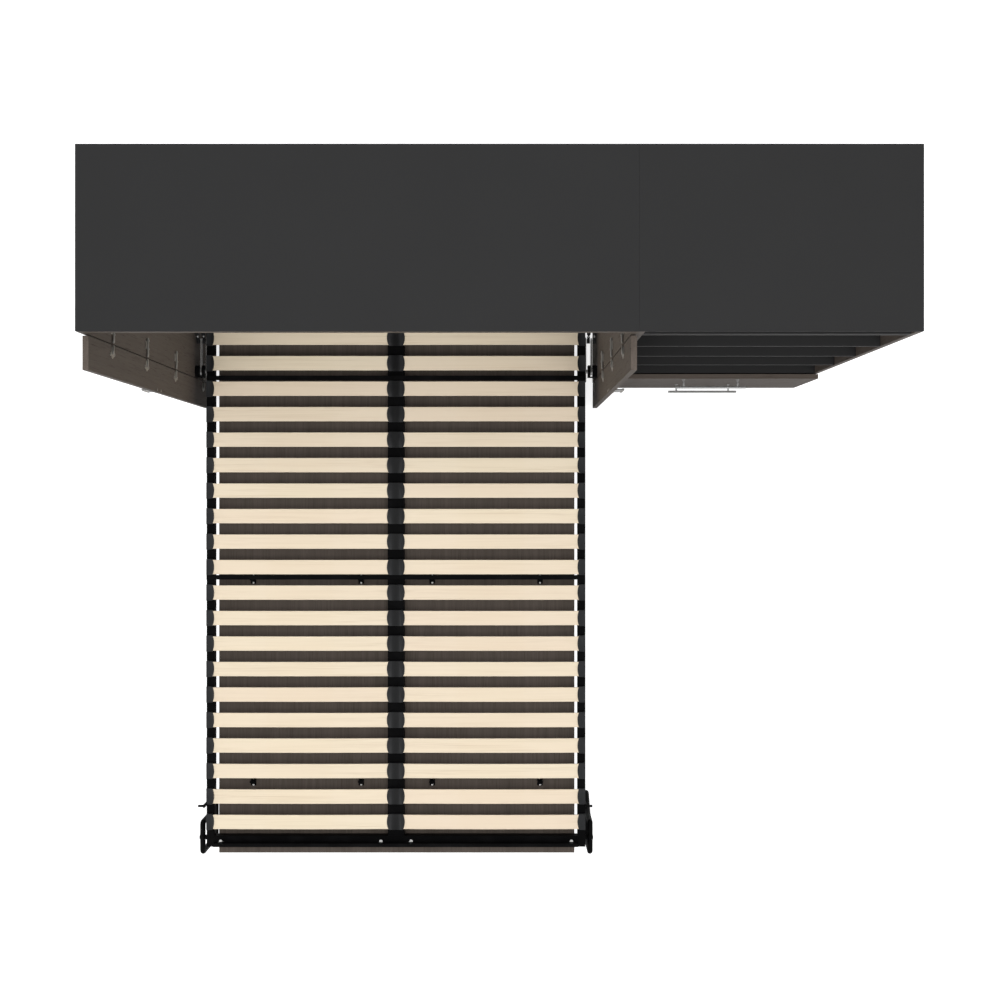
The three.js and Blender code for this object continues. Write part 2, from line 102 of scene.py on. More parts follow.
tooth, given, out = start_effect("laminate_tooth", {
    "Vector": "NodeSocketVector",
    "Ground": "NodeSocketColor",
    "Cloud": "NodeSocketColor",
    "Sheen Level": "NodeSocketFloat",
})
place = given.outputs["Vector"]
cloud = add_node(tooth, "ShaderNodeTexNoise", {"Vector": place, "Scale": 5.0, "Detail": 4.0})
grit = add_node(tooth, "ShaderNodeTexNoise", {"Vector": place, "Scale": 950.0, "Detail": 2.0})
mixed = add_node(tooth, "ShaderNodeMath", {
    0: cloud.outputs["Fac"], 1: grit.outputs["Fac"],
}, operation="MULTIPLY")
shade = add_node(tooth, "ShaderNodeMix", {
    0: mixed.outputs[0], 6: given.outputs["Ground"], 7: given.outputs["Cloud"],
}, data_type="RGBA")
rough = add_node(tooth, "ShaderNodeMath", {
    0: grit.outputs["Fac"], 1: 0.16, 2: given.outputs["Sheen Level"],
}, operation="MULTIPLY_ADD")
bump = add_node(tooth, "ShaderNodeBump", {
    "Strength": 0.06, "Distance": 0.0004, "Height": grit.outputs["Fac"],
})
end_effect(tooth, out, shade.outputs[2], rough.outputs[0], bump.outputs[0])

graphite_top = laid_material("graphite_laminate", tooth, {
    "Ground": (0.0185, 0.0185, 0.0189, 1), "Cloud": (0.0222, 0.0222, 0.0226, 1), "Sheen Level": 0.66,
}, Specular_IOR_Level=0.18)
dress(["bed_cabinet_top", "tower_top"], graphite_top)


# ======== Tower inside ========
# Back, shelves, deck, top rail and drawer trays in the same graphite board, a little deeper in
# tone inside, screwed between the two grained sides.
graphite_inside = laid_material("graphite_board", tooth, {
    "Ground": (0.0185, 0.0185, 0.0188, 1), "Cloud": (0.0225, 0.0225, 0.0229, 1), "Sheen Level": 0.56,
}, Specular_IOR_Level=0.2)
dress(
    [
        "tower_back", "shelf_1", "shelf_2", "shelf_3", "drawer_deck", "tower_top_rail",
        "upper_drawer_box", "lower_drawer_box",
    ],
    graphite_inside,
)


# ======== Grained boards ========
# Sides, doors, rails, drawer fronts and the closed bed's face are board with a grey-brown oak
# laminate: long soft figure, fine streaks and short pores pressed into the surface.
grain, given, out = start_effect("oak_grain", {
    "Vector": "NodeSocketVector",
    "Ground": "NodeSocketColor",
    "Streak": "NodeSocketColor",
    "Pore": "NodeSocketColor",
})


def stretched(tree, vector, across, along, detail, warp=0.0):
    drawn = add_node(tree, "ShaderNodeMapping", {"Vector": vector, "Scale": (across, across, along)})
    return add_node(tree, "ShaderNodeTexNoise", {
        "Vector": drawn.outputs["Vector"], "Scale": 1.0, "Detail": detail, "Distortion": warp,
    }).outputs["Fac"]


def narrowed(tree, value, low, high):
    return add_node(tree, "ShaderNodeMapRange", {0: value, 1: low, 2: high}).outputs[0]


figure = narrowed(grain, stretched(grain, given.outputs["Vector"], 16, 0.9, 3, 0.6), 0.3, 0.7)
streak = narrowed(grain, stretched(grain, given.outputs["Vector"], 150, 2.2, 4), 0.35, 0.68)
pore = narrowed(grain, stretched(grain, given.outputs["Vector"], 620, 11, 2), 0.6, 0.74)
tone = add_node(grain, "ShaderNodeMath", {0: figure, 1: 0.45}, operation="MULTIPLY")
tone = add_node(grain, "ShaderNodeMath", {0: streak, 1: 0.55, 2: tone.outputs[0]}, operation="MULTIPLY_ADD")
wood = add_node(grain, "ShaderNodeMix", {
    0: tone.outputs[0], 6: given.outputs["Ground"], 7: given.outputs["Streak"],
}, data_type="RGBA")
wood = add_node(grain, "ShaderNodeMix", {
    0: pore, 6: wood.outputs[2], 7: given.outputs["Pore"],
}, data_type="RGBA")
rough = add_node(grain, "ShaderNodeMath", {0: pore, 1: 0.16, 2: 0.56}, operation="MULTIPLY_ADD")
depth = add_node(grain, "ShaderNodeMath", {0: streak, 1: 0.3, 2: pore}, operation="MULTIPLY_ADD")
bump = add_node(grain, "ShaderNodeBump", {
    "Strength": 0.12, "Distance": 0.0006, "Height": depth.outputs[0],
}, invert=True)
end_effect(grain, out, wood.outputs[2], rough.outputs[0], bump.outputs[0])

oak_tones = {
    "Ground": (0.096, 0.079, 0.067, 1), "Streak": (0.066, 0.053, 0.044, 1), "Pore": (0.038, 0.030, 0.024, 1),
}
quarter_turn = math.radians(90)
oak_upright = laid_material("grey_oak_upright", grain, oak_tones, Specular_IOR_Level=0.2)
dress(
    ["left_side_panel", "right_side_panel", "tower_left_side", "tower_right_side", "left_door", "right_door"],
    oak_upright,
)
oak_level = laid_material(
    "grey_oak_level", grain, oak_tones, turned=(0, -quarter_turn, 0), Specular_IOR_Level=0.2,
)
dress(
    [
        "header_rail", "upper_wall_rail", "middle_wall_rail", "lower_wall_rail", "tower_base",
        "upper_drawer_front", "lower_drawer_front",
    ],
    oak_level,
)
oak_lengthwise = laid_material(
    "grey_oak_lengthwise", grain, oak_tones, turned=(quarter_turn, 0, 0), Specular_IOR_Level=0.2,
)
dress(["bed_front_panel"], oak_lengthwise)


# ======== Steel bed frame ========
# Rectangular steel tube, cut and welded, with a black powder coat that keeps a faint orange
# peel. The same coat is on the cross bars, the mattress stop and the pivot brackets.
coat, given, out = start_effect("powder_coat", {
    "Vector": "NodeSocketVector",
    "Ground": "NodeSocketColor",
    "Dust": "NodeSocketColor",
    "Sheen Level": "NodeSocketFloat",
})
place = given.outputs["Vector"]
peel = add_node(coat, "ShaderNodeTexNoise", {"Vector": place, "Scale": 420.0, "Detail": 2.0})
haze = add_node(coat, "ShaderNodeTexNoise", {"Vector": place, "Scale": 14.0, "Detail": 5.0})
shade = add_node(coat, "ShaderNodeMix", {
    0: narrowed(coat, haze.outputs["Fac"], 0.45, 0.8), 6: given.outputs["Ground"], 7: given.outputs["Dust"],
}, data_type="RGBA")
rough = add_node(coat, "ShaderNodeMath", {
    0: peel.outputs["Fac"], 1: 0.2, 2: given.outputs["Sheen Level"],
}, operation="MULTIPLY_ADD")
bump = add_node(coat, "ShaderNodeBump", {"Strength": 0.15, "Distance": 0.0004, "Height": peel.outputs["Fac"]})
end_effect(coat, out, shade.outputs[2], rough.outputs[0], bump.outputs[0])

black_coat = laid_material("black_powder_coat", coat, {
    "Ground": (0.0020, 0.0020, 0.0022, 1), "Dust": (0.0045, 0.0045, 0.0048, 1), "Sheen Level": 0.42,
}, Specular_IOR_Level=0.06)
dress(
    [
        "left_side_rail", "right_side_rail", "foot_bar", "head_bar", "centre_rail", "front_cross_bar",
        "middle_cross_bar", "mattress_stop", "left_pivot_bracket", "right_pivot_bracket",
    ],
    black_coat,
)


# ======== Slats ========
# Sprung birch-ply slats, slightly bowed upwards, with rounded long edges and thin glue lines
# along their sides. Each bank spans from the side rail to the middle, held at both ends.
slat_rows, slat_pitch, slat_width, slat_thickness, slat_bow = 21, 0.0928, 0.052, 0.008, 0.006
bank_low, bank_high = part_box("left_slats")
slat_top, cap_width = bank_high[2], 0.058
first_row = bank_high[1] - cap_width / 2
centre_low, centre_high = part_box("centre_rail")
middle = centre_low[0] / 2 + centre_high[0] / 2
row_places = [first_row - row * slat_pitch for row in range(slat_rows)]


def start_box(name, low, high):
    bpy.ops.object.select_all(action="DESELECT")
    centre = [(a + b) / 2 for a, b in zip(low, high)]
    bpy.ops.mesh.primitive_cube_add(size=1, location=centre)
    piece = bpy.context.object
    piece.scale = [b - a for a, b in zip(low, high)]
    bpy.ops.object.transform_apply(location=True, rotation=True, scale=True)
    piece.name = piece.data.name = name
    return piece


def round_edges(piece, width, segments=2, angle=40, smooth=35):
    bpy.ops.object.select_all(action="DESELECT")
    piece.select_set(True)
    bpy.context.view_layer.objects.active = piece
    bpy.ops.object.modifier_add(type="BEVEL")
    rounding = piece.modifiers[-1]
    rounding.width, rounding.segments = width, segments
    rounding.limit_method, rounding.angle_limit = "ANGLE", math.radians(angle)
    bpy.ops.object.modifier_apply(modifier=rounding.name)
    bpy.ops.object.shade_smooth_by_angle(angle=math.radians(smooth))
    return piece


def moved_copy(piece, name, offset=(0, 0, 0), mirrored_at=None):
    twin = piece.copy()
    twin.data = piece.data.copy()
    twin.name = twin.data.name = name
    bpy.context.collection.objects.link(twin)
    if mirrored_at is not None:
        there, back = Matrix.Translation((mirrored_at, 0, 0)), Matrix.Translation((-mirrored_at, 0, 0))
        twin.data.transform(there @ Matrix.Scale(-1, 4, (1, 0, 0)) @ back)
        twin.data.flip_normals()
    twin.data.transform(Matrix.Translation(offset))
    return twin


def joined_as(pieces, name):
    bpy.ops.object.select_all(action="DESELECT")
    for piece in pieces:
        piece.select_set(True)
    bpy.context.view_layer.objects.active = pieces[0]
    bpy.ops.object.join()
    whole = bpy.context.object
    whole.name = whole.data.name = name
    return whole


def fitted(piece, material, body):
    piece.data.materials.clear()
    piece.data.materials.append(material)
    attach(piece, body)
    return piece


veneer, given, out = start_effect("birch_veneer", {
    "Vector": "NodeSocketVector",
    "Pale": "NodeSocketColor",
    "Figure": "NodeSocketColor",
    "Blush": "NodeSocketColor",
    "Glue": "NodeSocketColor",
})
fine = narrowed(veneer, stretched(veneer, given.outputs["Vector"], 330, 3.0, 3), 0.38, 0.72)
broad = narrowed(veneer, stretched(veneer, given.outputs["Vector"], 60, 1.6, 2, 0.5), 0.4, 0.75)
grown = add_node(veneer, "ShaderNodeMath", {0: fine, 1: broad}, operation="MULTIPLY")
sheet = add_node(veneer, "ShaderNodeMix", {
    0: grown.outputs[0], 6: given.outputs["Pale"], 7: given.outputs["Figure"],
}, data_type="RGBA")
parts = add_node(veneer, "ShaderNodeSeparateXYZ", {0: given.outputs["Vector"]})
last_number, numbers_apart = 40, 57.0
row_number = add_node(veneer, "ShaderNodeMath", {
    0: parts.outputs["Y"], 1: 1 / slat_pitch, 2: 0.5 - first_row / slat_pitch + last_number,
}, operation="MULTIPLY_ADD")
row_number = add_node(veneer, "ShaderNodeMath", {0: row_number.outputs[0]}, operation="FLOOR")
bank = add_node(veneer, "ShaderNodeMath", {0: parts.outputs["Z"], 1: middle}, operation="GREATER_THAN")
number = add_node(veneer, "ShaderNodeMath", {
    0: bank.outputs[0], 1: numbers_apart, 2: row_number.outputs[0],
}, operation="MULTIPLY_ADD")
each = add_node(veneer, "ShaderNodeTexWhiteNoise", {"W": number.outputs[0]}, noise_dimensions="1D")
tinted = add_node(veneer, "ShaderNodeMath", {0: each.outputs["Value"], 1: 0.55}, operation="MULTIPLY")
sheet = add_node(veneer, "ShaderNodeMix", {
    0: tinted.outputs[0], 6: sheet.outputs[2], 7: given.outputs["Blush"],
}, data_type="RGBA")
ply = 0.0016
plies = add_node(veneer, "ShaderNodeMath", {0: parts.outputs["X"], 1: 2 * math.pi / ply}, operation="MULTIPLY")
plies = add_node(veneer, "ShaderNodeMath", {0: plies.outputs[0]}, operation="SINE")
face = add_node(veneer, "ShaderNodeNewGeometry")
side = add_node(veneer, "ShaderNodeSeparateXYZ", {0: face.outputs["Normal"]})
side = add_node(veneer, "ShaderNodeMath", {0: side.outputs["Z"]}, operation="ABSOLUTE")
side = add_node(veneer, "ShaderNodeMath", {0: side.outputs[0], 1: 0.5}, operation="LESS_THAN")
seam = add_node(veneer, "ShaderNodeMath", {
    0: narrowed(veneer, plies.outputs[0], 0.55, 0.95), 1: side.outputs[0],
}, operation="MULTIPLY")
sheet = add_node(veneer, "ShaderNodeMix", {
    0: seam.outputs[0], 6: sheet.outputs[2], 7: given.outputs["Glue"],
}, data_type="RGBA")
rough = add_node(veneer, "ShaderNodeMath", {0: fine, 1: 0.12, 2: 0.42}, operation="MULTIPLY_ADD")
bump = add_node(veneer, "ShaderNodeBump", {"Strength": 0.08, "Distance": 0.0004, "Height": fine}, invert=True)
end_effect(veneer, out, sheet.outputs[2], rough.outputs[0], bump.outputs[0])

birch = laid_material("lacquered_birch", veneer, {
    "Pale": (0.69, 0.595, 0.445, 1), "Figure": (0.55, 0.45, 0.31, 1),
    "Blush": (0.66, 0.53, 0.41, 1), "Glue": (0.3, 0.21, 0.12, 1),
}, turned=(0, -quarter_turn, 0), Coat_Weight=0.15, Coat_Roughness=0.35)

slat_start, slat_end = bank_low[0] + 0.004, middle - 0.006
slat = start_box(
    "slat",
    (slat_start, -slat_width / 2, slat_top - slat_thickness),
    (slat_end, slat_width / 2, slat_top),
)
bpy.ops.object.mode_set(mode="EDIT")
bpy.ops.mesh.select_all(action="DESELECT")
bpy.ops.object.mode_set(mode="OBJECT")
for edge in slat.data.edges:
    a, b = (slat.data.vertices[i].co for i in edge.vertices)
    edge.select = abs(a.x - b.x) > 0.1
bpy.ops.object.mode_set(mode="EDIT")
bpy.context.tool_settings.mesh_select_mode = (False, True, False)
bpy.ops.mesh.subdivide(number_cuts=11)
bpy.ops.object.mode_set(mode="OBJECT")
slat_span = slat.dimensions.x
slat_middle = (slat_start + slat_end) / 2
for vertex in slat.data.vertices:
    reach = (vertex.co.x - slat_middle) / (slat_span / 2)
    vertex.co.z += slat_bow * (1 - reach * reach)
round_edges(slat, 0.0022, 3)
for bank, mirrored_at in (("left", None), ("right", middle)):
    copies = [moved_copy(slat, f"{bank}_slat", (0, y, 0), mirrored_at) for y in row_places]
    fitted(joined_as(copies, f"{bank}_slat_row"), birch, "bed")
bpy.data.objects.remove(slat)


# ======== Slat holders ========
# Moulded black plastic caps. A single cap, bowed on its inner side, holds each slat's outer end;
# a double cap, bowed both ways, holds the two inner ends over the middle rail.
moulded = laid_material("moulded_black_plastic", coat, {
    "Ground": (0.009, 0.0095, 0.0105, 1), "Dust": (0.013, 0.0135, 0.0145, 1), "Sheen Level": 0.4,
})


def cut_flat(place, normal):
    bpy.ops.mesh.select_all(action="SELECT")
    bpy.ops.mesh.bisect(plane_co=place, plane_no=normal, use_fill=True, clear_outer=True)


def bowed_cap(name, flat_x, tip_x, width, bow, low, high):
    radius = ((width / 2) ** 2 + bow ** 2) / (2 * bow)
    bpy.ops.object.select_all(action="DESELECT")
    bpy.ops.mesh.primitive_cylinder_add(
        vertices=128, radius=radius, depth=high - low, location=(tip_x - radius, 0, (low + high) / 2),
    )
    cap = bpy.context.object
    bpy.ops.object.transform_apply(location=True, rotation=True, scale=True)
    bpy.ops.object.mode_set(mode="EDIT")
    cut_flat((flat_x, 0, 0), (-1, 0, 0))
    cut_flat((0, width / 2, 0), (0, 1, 0))
    cut_flat((0, -width / 2, 0), (0, -1, 0))
    bpy.ops.object.mode_set(mode="OBJECT")
    cap.name = cap.data.name = name
    return cap


def sunk_top(cap, top, rim, depth):
    bpy.ops.object.mode_set(mode="EDIT")
    bpy.ops.mesh.select_all(action="DESELECT")
    bpy.ops.object.mode_set(mode="OBJECT")
    for polygon in cap.data.polygons:
        polygon.select = polygon.normal.z > 0.9 and polygon.center.z > top - 0.0005
    bpy.ops.object.mode_set(mode="EDIT")
    bpy.context.tool_settings.mesh_select_mode = (False, False, True)
    bpy.ops.mesh.inset(thickness=rim, depth=0)
    bpy.ops.transform.translate(value=(0, 0, -depth))
    bpy.ops.object.mode_set(mode="OBJECT")


cap_low, cap_high = slat_top - slat_thickness - 0.0055, slat_top + 0.0035
side_reach, side_bow = 0.0285, 0.0062
middle_reach, middle_bow = 0.0325, 0.0068
bank_edge = bank_low[0]
side_cap = bowed_cap("side_cap", bank_edge, bank_edge + side_reach, cap_width, side_bow, cap_low, cap_high)
sunk_top(side_cap, cap_high, rim=0.0028, depth=0.0012)
round_edges(side_cap, 0.0009, 2)
middle_cap = bowed_cap("middle_cap", middle, middle + middle_reach, cap_width, middle_bow, cap_low, cap_high)
bpy.ops.object.modifier_add(type="MIRROR")
middle_cap.modifiers[-1].use_axis = (True, False, False)
hook = bpy.data.objects.new("middle_line", None)
bpy.context.collection.objects.link(hook)
hook.location = (middle, 0, 0)
middle_cap.modifiers[-1].mirror_object = hook
bpy.ops.object.modifier_apply(modifier=middle_cap.modifiers[-1].name)
bpy.data.objects.remove(hook)
round_edges(middle_cap, 0.0014, 2)
for bank, mirrored_at in (("left", None), ("right", middle)):
    copies = [moved_copy(side_cap, f"{bank}_cap", (0, y, 0), mirrored_at) for y in row_places]
    caps = fitted(joined_as(copies, f"{bank}_slat_caps"), moulded, "bed")
    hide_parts(f"{bank}_slats")
copies = [moved_copy(middle_cap, "cap", (0, y, 0)) for y in row_places]
fitted(joined_as(copies, "middle_slat_caps"), moulded, "bed")
bpy.data.objects.remove(side_cap)
bpy.data.objects.remove(middle_cap)


# ======== Bright fittings ========
# Turned and pressed steel with a bright brushed finish: pivot plates, cranks, pins and drawer
# runners.
brushed, given, out = start_effect("brushed_steel", {
    "Vector": "NodeSocketVector",
    "Ground": "NodeSocketColor",
    "Streak": "NodeSocketColor",
    "Sheen Level": "NodeSocketFloat",
})
lines = narrowed(brushed, stretched(brushed, given.outputs["Vector"], 1400, 22, 2), 0.3, 0.7)
shade = add_node(brushed, "ShaderNodeMix", {
    0: lines, 6: given.outputs["Ground"], 7: given.outputs["Streak"],
}, data_type="RGBA")
rough = add_node(brushed, "ShaderNodeMath", {
    0: lines, 1: 0.12, 2: given.outputs["Sheen Level"],
}, operation="MULTIPLY_ADD")
bump = add_node(brushed, "ShaderNodeBump", {"Strength": 0.05, "Distance": 0.0002, "Height": lines})
end_effect(brushed, out, shade.outputs[2], rough.outputs[0], bump.outputs[0])
bright = laid_material("bright_steel", brushed, {
    "Ground": (0.62, 0.62, 0.615, 1), "Streak": (0.46, 0.46, 0.455, 1), "Sheen Level": 0.22,
}, Metallic=0.75)
dress(
    [
        "left_pivot_and_crank", "right_pivot_and_crank", "left_strut_pin", "right_strut_pin",
        "lower_left_runner", "lower_right_runner", "upper_left_runner", "upper_right_runner",
    ],
    bright,
)


# ======== Pulls ========
# Round bar pulls in bright steel, rounded at the ends, each on two slim posts with a small
# collar at the board. The two on the drawers lie level, the two on the doors stand upright.
def start_bar(name, start, end, radius, sides=32):
    start, end = Vector(start), Vector(end)
    bpy.ops.object.select_all(action="DESELECT")
    bpy.ops.mesh.primitive_cylinder_add(vertices=sides, radius=radius, depth=(end - start).length)
    bar = bpy.context.object
    leaning = (end - start).to_track_quat("Z", "Y").to_matrix().to_4x4()
    bar.data.transform(Matrix.Translation((start + end) / 2) @ leaning)
    bar.name = bar.data.name = name
    return bar


def bar_pull(name, foot, along, out, spacing, length, stand, radius):
    foot, along, out = Vector(foot), Vector(along), Vector(out)
    line = foot + out * stand
    half = along * length / 2
    pieces = [round_edges(start_bar("bar", line - half, line + half, radius), 0.0012, 3)]
    for end in (-1, 1):
        base = foot + along * spacing / 2 * end
        pieces.append(round_edges(start_bar("post", base, base + out * stand, 0.0032, 24), 0.0004, 2))
        pieces.append(round_edges(start_bar("collar", base, base + out * 0.0022, 0.0062, 32), 0.0007, 2))
    return joined_as(pieces, name)


pull_stand, pull_radius = 0.028, 0.0045
drawer_pull_spacing, drawer_pull_length = 0.192, 0.252
door_pull_spacing, door_pull_length = 0.064, 0.104
for level in ("lower", "upper"):
    low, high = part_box(f"{level}_drawer_pull")
    front_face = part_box(f"{level}_drawer_front")[0][1]
    pull = bar_pull(
        f"{level}_drawer_bar_pull", ((low[0] + high[0]) / 2, front_face, (low[2] + high[2]) / 2),
        (1, 0, 0), (0, -1, 0), drawer_pull_spacing, drawer_pull_length, pull_stand, pull_radius,
    )
    fitted(pull, bright, f"{level}_drawer")
    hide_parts(f"{level}_drawer_pull")
for side, sign in (("left", -1), ("right", 1)):
    low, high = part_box(f"{side}_door_pull")
    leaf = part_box(f"{side}_door")
    face = leaf[0][0] if sign < 0 else leaf[1][0]
    pull = bar_pull(
        f"{side}_door_bar_pull", (face, (low[1] + high[1]) / 2, (low[2] + high[2]) / 2),
        (0, 0, 1), (sign, 0, 0), door_pull_spacing, door_pull_length, pull_stand, pull_radius,
    )
    fitted(pull, bright, f"{side}_door")
    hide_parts(f"{side}_door_pull")


# ======== Concealed hinges ========
# Four nickelled cup hinges to a door. The arm and its cross plate are screwed inside the side
# panel; the cup's flange is screwed to the door, and a link closes the gap between them.
nickel = laid_material("nickelled_steel", brushed, {
    "Ground": (0.5, 0.485, 0.46, 1), "Streak": (0.38, 0.37, 0.35, 1), "Sheen Level": 0.34,
}, Metallic=1.0)
hinge_heights = (0.165, 0.752, 1.266, 1.780)


def screw_head(name, base, out, radius=0.0042, height=0.0016):
    base, out = Vector(base), Vector(out)
    head = start_bar(name, base, base + out * height, radius, 20)
    bpy.ops.object.mode_set(mode="EDIT")
    bpy.ops.mesh.select_all(action="DESELECT")
    bpy.ops.object.mode_set(mode="OBJECT")
    for polygon in head.data.polygons:
        polygon.select = polygon.normal.dot(out) > 0.9
    bpy.ops.object.mode_set(mode="EDIT")
    bpy.context.tool_settings.mesh_select_mode = (False, False, True)
    bpy.ops.mesh.inset(thickness=radius * 0.5, depth=0)
    bpy.ops.transform.translate(value=-out * height * 0.55)
    bpy.ops.object.mode_set(mode="OBJECT")
    return round_edges(head, 0.0004, 2)


panel_low, panel_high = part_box("left_side_panel")
leaf_low, leaf_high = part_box("left_door")
face = panel_high[0]
edge = panel_low[1]
plate_top, arm_top = face + 0.0022, face + 0.0075
plate_screw_line, plate_screw_offset = edge + 0.039, 0.0158
arm_screw_radius = 0.003
inwards = (1, 0, 0)
plate = start_box("plate", (face, edge + 0.026, -0.022), (plate_top, edge + 0.052, 0.022))
bar = start_box("arm", (face + 0.001, edge + 0.004, -0.004), (arm_top, edge + 0.062, 0.004))
nose = start_box("nose", (face + 0.001, edge + 0.0015, -0.006), (face + 0.0065, edge + 0.012, 0.006))
arm_parts = [
    round_edges(plate, 0.0008),
    round_edges(bar, 0.0022, 3),
    round_edges(nose, 0.002, 3),
    screw_head("screw", (plate_top, plate_screw_line, plate_screw_offset), inwards),
    screw_head("screw", (plate_top, plate_screw_line, -plate_screw_offset), inwards),
    screw_head("screw", (arm_top, edge + 0.026, 0), inwards, arm_screw_radius),
    screw_head("screw", (arm_top, edge + 0.053, 0), inwards, arm_screw_radius),
]
arm = joined_as(arm_parts, "hinge_arm")
leaf_face, leaf_edge = leaf_high[0], leaf_high[1]
cup_centre, cup_radius, wing_top = leaf_edge - 0.022, 0.0175, leaf_face + 0.0014
cup_screw_line, cup_screw_offset = leaf_edge - 0.0265, 0.0245
flange = start_bar("flange", (leaf_face, cup_centre, 0), (leaf_face + 0.0018, cup_centre, 0), cup_radius, 48)
wing = start_box("wing", (leaf_face, leaf_edge - 0.032, -0.031), (wing_top, leaf_edge - 0.021, 0.031))
link = start_box(
    "link", (leaf_face + 0.001, leaf_edge - 0.027, -0.0045), (leaf_face + 0.0062, leaf_edge - 0.0008, 0.0045),
)
cup_parts = [
    round_edges(flange, 0.0006),
    round_edges(wing, 0.0006),
    round_edges(link, 0.002, 3),
    screw_head("screw", (wing_top, cup_screw_line, cup_screw_offset), inwards),
    screw_head("screw", (wing_top, cup_screw_line, -cup_screw_offset), inwards),
]
cup = joined_as(cup_parts, "hinge_cup")
for side, mirrored_at in (("left", None), ("right", middle)):
    for number, height in enumerate(hinge_heights, 1):
        fixed_half = moved_copy(arm, f"{side}_hinge_arm_{number}", (0, 0, height), mirrored_at)
        fitted(fixed_half, nickel, "cabinet")
        door_half = moved_copy(cup, f"{side}_hinge_cup_{number}", (0, 0, height), mirrored_at)
        fitted(door_half, nickel, f"{side}_door")
bpy.data.objects.remove(arm)
bpy.data.objects.remove(cup)
pull_screw_line, pull_height = leaf_low[1] + 0.0068, 1.052
for side, mirrored_at in (("left", None), ("right", middle)):
    heads = []
    for height in (pull_height - door_pull_spacing / 2, pull_height + door_pull_spacing / 2):
        head = screw_head("head", (leaf_face, pull_screw_line, height), inwards, 0.0038)
        heads.append(moved_copy(head, "pull_screw", (0, 0, 0), mirrored_at))
        bpy.data.objects.remove(head)
    fitted(joined_as(heads, f"{side}_door_pull_screws"), nickel, f"{side}_door")


# ======== Front panel brackets ========
# Eight small black angles, each screwed down to the closed bed's face with two zinc-plated
# screws and standing against the frame's inner bars.
panel_low, panel_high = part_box("bed_front_panel")
bracket_columns = (-0.5265, -0.1305, 0.1305, 0.5265)
bracket_rows = (first_row - 10.5 * slat_pitch, first_row - 18.5 * slat_pitch + 0.001)
bracket_screw_offset, bracket_screw_radius, upwards = 0.0132, 0.0036, (0, 0, 1)
board_top = panel_high[2]
foot_top = board_top + 0.0025
foot = start_box("foot", (-0.010, -0.017, board_top), (0.010, 0.017, foot_top))
waist = start_box("waist", (-0.0055, -0.010, board_top + 0.001), (0.0055, 0.010, board_top + 0.018))
shelf = start_box("shelf", (-0.010, -0.0035, board_top + 0.001), (0.010, 0.0035, board_top + 0.034))
bracket_parts = [round_edges(foot, 0.0008), round_edges(waist, 0.002, 3), round_edges(shelf, 0.001)]
bracket = joined_as(bracket_parts, "bracket")
zinc = laid_material("zinc_plate", brushed, {
    "Ground": (0.82, 0.82, 0.8, 1), "Streak": (0.7, 0.7, 0.69, 1), "Sheen Level": 0.4,
}, Metallic=0.15)
screws = []
number = 0
for y in bracket_rows:
    for x in bracket_columns:
        number += 1
        placed = moved_copy(bracket, f"panel_bracket_{number}", (middle + x, y, 0))
        fitted(placed, black_coat, "bed")
        for along in (-bracket_screw_offset, bracket_screw_offset):
            base = (middle + x, y + along, foot_top)
            screws.append(screw_head("screw", base, upwards, bracket_screw_radius))
fitted(joined_as(screws, "panel_bracket_screws"), zinc, "bed")
bpy.data.objects.remove(bracket)


# ======== Frame bolts ========
# Zinc-plated pan-head bolts that clamp the foot and head bars, and black moulded plugs pressed
# into the open ends of the side rails.
foot_low, foot_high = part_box("foot_bar")
head_low, head_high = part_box("head_bar")
bolt_columns, bolt_radius, bolt_height = (-0.640, -0.055, 0.055, 0.640), 0.0062, 0.003
for name, low, high in (("foot", foot_low, foot_high), ("head", head_low, head_high)):
    y, top = (low[1] + high[1]) / 2, high[2]
    bolts = [
        screw_head("bolt", (middle + x, y, top), upwards, bolt_radius, bolt_height) for x in bolt_columns
    ]
    fitted(joined_as(bolts, f"{name}_bar_bolts"), zinc, "bed")
rail_low, rail_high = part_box("left_side_rail")
tube_face = bank_edge - 0.001
plug_near, plug_far, plug_bottom, plug_top, plug_depth = 0.0023, 0.0257, 0.2993, 0.3447, 0.012
for side, mirrored_at in (("left", None), ("right", middle)):
    plugs = []
    for y, sign in ((rail_low[1], -1), (rail_high[1], 1)):
        inner_end = y - sign * plug_depth
        plug = start_box(
            "plug",
            (tube_face + plug_near, min(y, inner_end), plug_bottom),
            (tube_face + plug_far, max(y, inner_end), plug_top),
        )
        plugs.append(round_edges(plug, 0.0015, 2))
    whole = joined_as(plugs, "plugs")
    placed = moved_copy(whole, f"{side}_rail_end_plugs", (0, 0, 0), mirrored_at)
    fitted(placed, moulded, "bed")
    bpy.data.objects.remove(whole)


# ======== Gas struts ========
# Two a side: a black cylinder above, a chromed rod below, and a black moulded eye at each end.
# They carry the bed's weight while it folds.
chrome = laid_material("chromed_rod", brushed, {
    "Ground": (0.8, 0.8, 0.8, 1), "Streak": (0.72, 0.72, 0.72, 1), "Sheen Level": 0.18,
}, Metallic=0.5)
gloss_black = laid_material("painted_cylinder", coat, {
    "Ground": (0.006, 0.006, 0.0065, 1), "Dust": (0.009, 0.009, 0.0095, 1), "Sheen Level": 0.2,
})
strut_lean = Vector((0, -0.563918, -0.825831))
upper_eye = Vector((0, 0.996375, 0.669))
strut_length, barrel_length, rod_inside = 0.4238, 0.385, 0.150
barrel_radius, neck_radius, rod_radius, stem_radius = 0.0068, 0.0048, 0.0035, 0.0055
upper_eye_radius, lower_eye_radius, half_eye = 0.0108, 0.0088, Vector((0.006, 0, 0))
